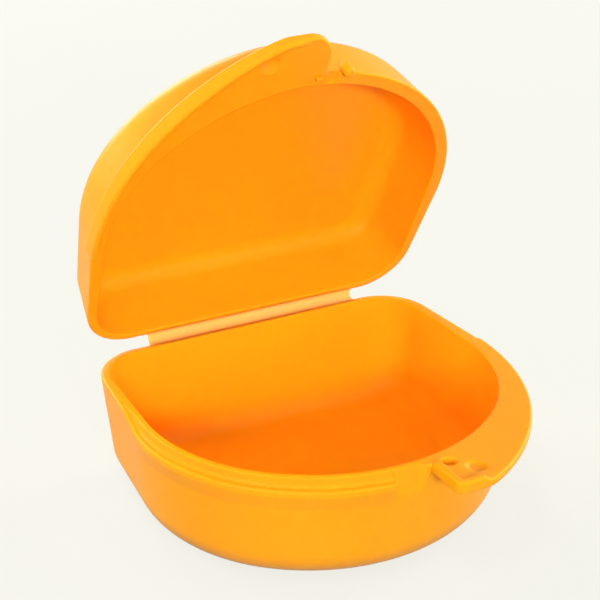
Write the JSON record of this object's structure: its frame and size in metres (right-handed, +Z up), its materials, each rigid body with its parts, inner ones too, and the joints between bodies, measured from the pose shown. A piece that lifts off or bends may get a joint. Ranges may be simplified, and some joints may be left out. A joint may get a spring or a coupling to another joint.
{
  "type": "mouth guard case",
  "caption": "Small hinged clamshell case with a D-shaped plan, a deep tray, a shallower lid standing open, a thin moulded hinge strip and side-by-side thumb tabs with a snap peg.",
  "frame": {"origin": "centre of the plan at the tray's flat bottom, which the case stands on", "axes": "+Z up, -Y towards the front with the thumb tabs, +Y towards the hinge, X along the hinge axis"},
  "size_m": [0.0772, 0.0856, 0.092],
  "materials": {
    "shell_plastic": "semi-gloss orange polypropylene, slightly translucent",
    "hinge_web": "the same orange polypropylene, paler where it is thin"
  },
  "bodies": {
    "base": {"base_tray": "shell_plastic", "base_thumb_tab": "shell_plastic", "base_catch_ledge": "shell_plastic", "living_hinge": "hinge_web"},
    "lid": {"lid_shell": "shell_plastic", "lid_thumb_tab": "shell_plastic", "lid_snap_peg": "shell_plastic", "lid_catch_tooth": "shell_plastic"}
  },
  "joints": [
    {"name": "lid_hinge", "type": "hinge", "parent": "base", "child": "lid", "pos_m": [0, 0.0335, 0.02312], "axis": [-1, 0, 0], "range_deg": [-66, 114], "deforming": ["living_hinge"]}
  ]
}
